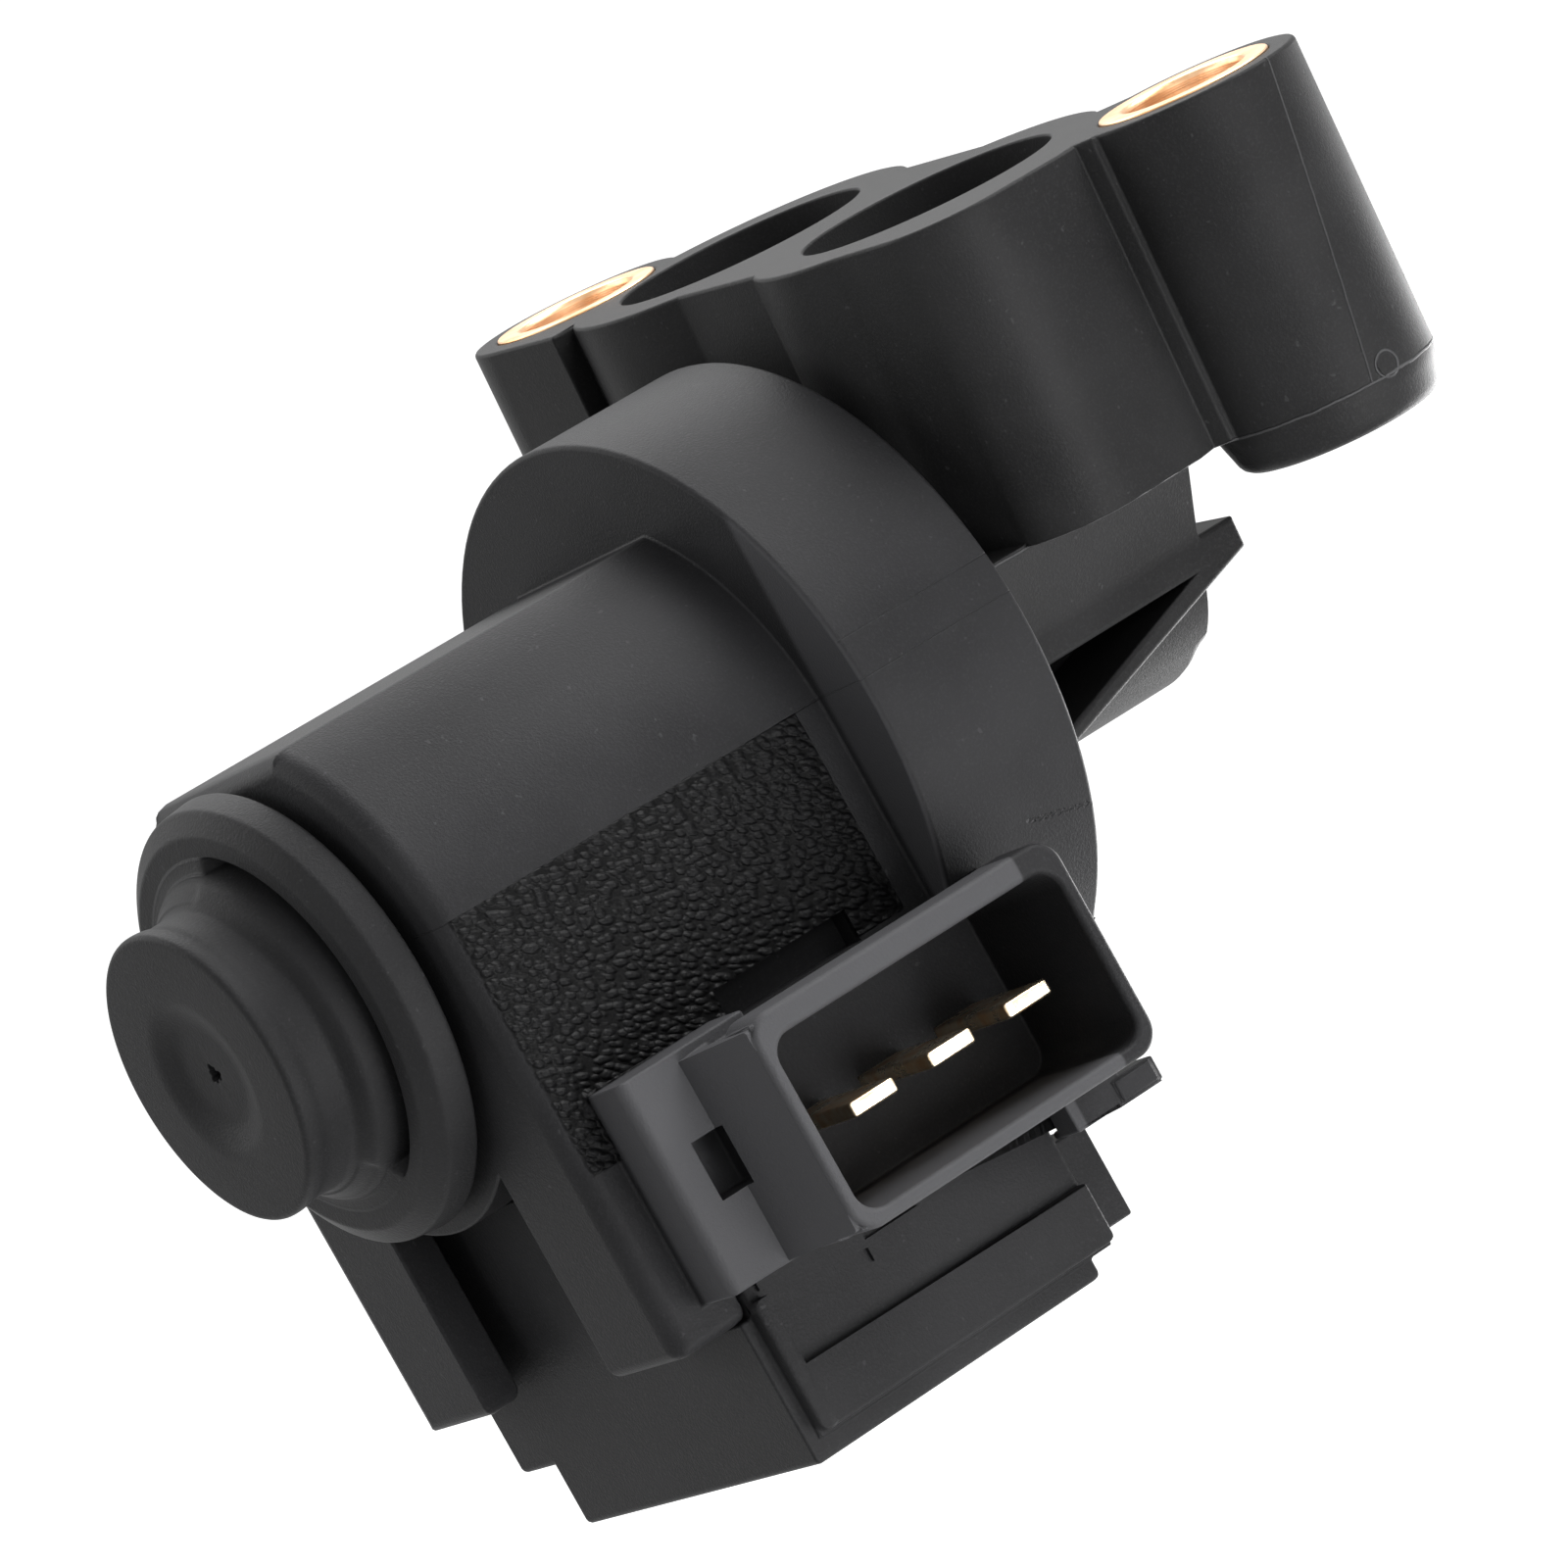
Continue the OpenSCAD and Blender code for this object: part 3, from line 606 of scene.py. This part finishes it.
# The line starts and ends inside the bore, so that both of its rims can be rounded
sleeve_corners = np.array([(bushing_low + 5 * mm, bushing_in), (bushing_low, bushing_in),
                           (bushing_low, bushing_out), (bushing_high, bushing_out),
                           (bushing_high, bushing_in), (bushing_low + 5 * mm, bushing_in)])
bushing_metal = Finish("bushing_brass", (0.86, 0.56, 0.27, 1), 0.3, Metallic=1.0)
here = bushing_metal.place()
up = bushing_metal.axes(here)[2]
tool = bushing_metal.node("TexNoise", 0, {"noise_dimensions": "1D"}, W=up, Scale=5200, Detail=3.0)
tarnish = bushing_metal.noise(here, 500, 4)
bushing_metal.set(**{
    "Base Color": bushing_metal.mix(tarnish.ramp(0.35, 0.7), brass, tarnished_brass),
    "Roughness": 0.24 + 0.2 * tarnish, "Normal": bushing_metal.bump(tool, 0.03 * mm)})
sleeve_line = rounded_line(sleeve_corners, np.array([0, 0.15, 0.15, 0.12, 0.35, 0]) * mm, 5)
angle = np.linspace(0, 2 * pi, sleeve_sides, endpoint=False)
height, r = np.repeat(sleeve_line[:, :1], sleeve_sides, 1), sleeve_line[:, 1:]
for side, node in ((1, "bushing_near"), (-1, "bushing_far")):
    sleeve = skin_of(node + "_sleeve", np.stack([side * bolt_x + r * np.cos(angle),
                                                 side * bolt_y + r * np.sin(angle), height], -1))
    sleeve.data.materials.append(bushing_metal.material)
    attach(sleeve, "housing")
    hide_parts(node)


# ---------------------------------------------------------------------------------------------
# Motor inside the housing: a laminated two-leg stator, a moulded bobbin with two windings, and on the shaft
# a hub with its ring magnet. These keep their CAD form.

def dress(node, finish):
    """Gives a CAD node its material in place of its plain one."""
    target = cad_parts[node]
    target.data.materials.clear()
    target.data.materials.append(finish.material)


def striped(name, dark, light, rough, metal, pitch, direction, depth):
    """Fine parallel lines along one axis: sheets of a stack, turns of wire or a tool's path."""
    finish = Finish(name, light, rough, Metallic=metal)
    here = finish.place()
    lane = finish.axes(here)[direction]
    wave = (lane * (2 * pi / pitch)).math("SINE") * 0.5 + 0.5
    smear = finish.noise(here, 400, 3)
    finish.set(**{"Base Color": finish.mix(wave * 0.6 + smear * 0.4, dark, light),
                  "Roughness": rough - 0.06 + 0.14 * smear, "Normal": finish.bump(wave, depth)})
    return finish


dress("stator_core", striped("core_sheets", (0.16, 0.16, 0.17, 1), (0.42, 0.43, 0.45, 1), 0.45, 1.0,
                             0.5 * mm, 0, 0.03 * mm))
copper_wire = striped("winding_wire", (0.3, 0.09, 0.03, 1), (0.72, 0.3, 0.12, 1), 0.3, 1.0, 0.28 * mm, 1,
                      0.08 * mm)
dress("winding_open", copper_wire)
dress("winding_close", copper_wire)
dress("coil_bobbin", moulded("bobbin_plastic", (0.62, 0.58, 0.48, 1), 0.5))
dress("rotor_magnet", moulded("magnet_ferrite", (0.06, 0.06, 0.065, 1), 0.6, 0.02 * mm))
dress("magnet_hub", striped("hub_aluminium", (0.48, 0.49, 0.5, 1), (0.66, 0.67, 0.69, 1), 0.35, 1.0,
                            0.22 * mm, 0, 0.01 * mm))
dress("rotor_shaft", striped("shaft_steel", (0.5, 0.51, 0.53, 1), (0.66, 0.67, 0.69, 1), 0.22, 1.0,
                             0.12 * mm, 0, 0.004 * mm))


# ---------------------------------------------------------------------------------------------
# Bearings, bearing plate, joint ring, slide and retaining ring: sintered bronze, die-cast aluminium, rubber
# and spring steel, all inside.

def cast(name, color, rough, grain, depth, metal=1.0):
    """A cast, sintered or moulded skin: grains of two sizes over a cloudy colour."""
    finish = Finish(name, color, rough, Metallic=metal)
    here = finish.place()
    pores, cloud = finish.noise(here, grain, 4, 0.65), finish.noise(here, 260, 3)
    finish.set(**{"Base Color": finish.mix(cloud * 0.5 + pores * 0.5, shade(color, 0.7), shade(color, 1.25)),
                  "Roughness": rough - 0.06 + 0.15 * pores, "Normal": finish.bump(pores, depth)})
    return finish


bronze = cast("bearing_bronze", (0.5, 0.34, 0.18, 1), 0.45, 5200, 0.02 * mm)
dress("front_bearing", bronze)
dress("rear_bearing", bronze)
dress("bearing_plate", cast("plate_aluminium", (0.56, 0.57, 0.59, 1), 0.42, 2600, 0.02 * mm))
dress("valve_slide", cast("slide_aluminium", (0.5, 0.51, 0.53, 1), 0.36, 3400, 0.012 * mm))
dress("joint_seal", cast("seal_rubber", (0.02, 0.02, 0.021, 1), 0.62, 4200, 0.012 * mm, 0.0))
dress("retaining_ring", cast("ring_steel", (0.36, 0.37, 0.39, 1), 0.34, 3000, 0.006 * mm))


# ---------------------------------------------------------------------------------------------
# Studio: a white floor and surround, broad soft lamps in front, behind and on the left, two small ones low
# down, and the camera at the photograph's place.

def white_when_seen(tree, dim, bright):
    """dim for light on the object and bright for what the camera and the gloss of the object see."""
    rays = tree.nodes.new("ShaderNodeLightPath")
    seen = Wire(tree, rays.outputs["Is Camera Ray"])
    for kind in ("Is Glossy Ray", "Is Transmission Ray"):
        seen = seen.math("MAXIMUM", Wire(tree, rays.outputs[kind]))
    return dim + (bright - dim) * seen


world = bpy.data.worlds.new("studio")
bpy.context.scene.world = world
world.use_nodes = True
background = world.node_tree.nodes["Background"]
background.inputs["Color"].default_value = (1, 1, 1, 1)
feed(world.node_tree, background.inputs["Strength"], white_when_seen(world.node_tree, 0.45, 1.0))

floor_size, floor_drop = 15.0, 120 * mm
low = cad_box[0][2] - floor_drop
ground = bpy.data.meshes.new("floor")
corners = ((-1, -1), (1, -1), (1, 1), (-1, 1))
ground.from_pydata([(x * floor_size, y * floor_size, low) for x, y in corners], [], [(0, 1, 2, 3)])
floor = linked("floor", ground)
paper = Finish("floor_paper", (0.25, 0.25, 0.25, 1), 0.9, **{"Emission Color": (1, 1, 1, 1)})
seen = paper.node("LightPath", "Is Camera Ray") + paper.node("LightPath", "Is Glossy Ray") \
    + paper.node("LightPath", "Is Transmission Ray")
paper.set(**{"Emission Strength": 0.9 * seen})
ground.materials.append(paper.material)

aim = Vector((-16.56, 4.84, -24.54)) * mm
azimuth, elevation, roll = radians(30.576), radians(9.841), radians(-25.624)
distance = 407.33 * mm
back = Vector((-sin(azimuth) * cos(elevation), -cos(azimuth) * cos(elevation), sin(elevation)))
lens = bpy.data.cameras.new("camera")
lens.sensor_width = 36
lens.lens = 184.15
lens.clip_start, lens.clip_end = 0.01, 40
camera = linked("camera", lens)
turn = back.to_track_quat("Z", "Y").to_matrix() @ Matrix.Rotation(roll, 3, "Z")
camera.rotation_euler = turn.to_euler()
camera.location = aim + back * distance
bpy.context.scene.camera = camera

# Each lamp's place round the object, as the azimuth from -Y towards +X and the height in degrees, with its
# distance, size and power
for name, turn, height, away, size, power in (
        ("key", 60, 50, 0.6, 0.4, 7.0), ("behind", 150, 50, 0.6, 0.4, 3.2),
        ("behind_left", -150, 30, 0.6, 0.4, 2.1), ("low_right", 100, -25, 0.2, 0.14, 0.8),
        ("low_front", 5, -22, 0.2, 0.14, 0.6), ("left", -100, 15, 0.6, 0.4, 0.9),
        ("front", -15, 10, 0.6, 0.4, 0.8)):
    data = bpy.data.lights.new(name, "AREA")
    data.size, data.energy = size, power
    lamp = linked(name, data)
    turn, height = radians(turn), radians(height)
    lamp.location = aim + away * Vector((sin(turn) * cos(height), -cos(turn) * cos(height), sin(height)))
    lamp.rotation_euler = (lamp.location - aim).to_track_quat("Z", "Y").to_euler()

bpy.context.scene.view_settings.view_transform = "Standard"
